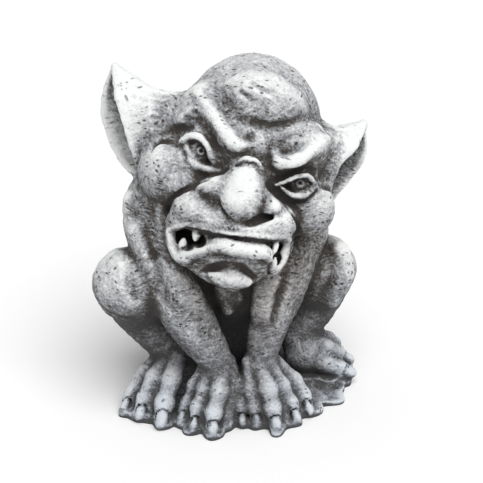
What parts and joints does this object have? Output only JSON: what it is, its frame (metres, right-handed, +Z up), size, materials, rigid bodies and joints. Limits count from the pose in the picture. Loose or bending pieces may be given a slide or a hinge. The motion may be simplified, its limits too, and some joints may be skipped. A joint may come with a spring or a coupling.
{
  "type": "gargoyle statue",
  "caption": "Squatting goblin-like gargoyle cast as one piece of stone, with large pointed ears and its hands on the ground between its feet.",
  "frame": {"origin": "middle of the flat underside of the base, on the surface that the statue stands on", "axes": "+Z up through the crown of the head, -Y the way the body faces, +X the figure's own left"},
  "size_m": [0.2292, 0.1827, 0.2932],
  "materials": {
    "cast_stone": "cast, weathered, dark wash in the hollows and pale on the high places"
  },
  "bodies": {
    "root": {"gargoyle": "cast_stone"}
  },
  "joints": []
}
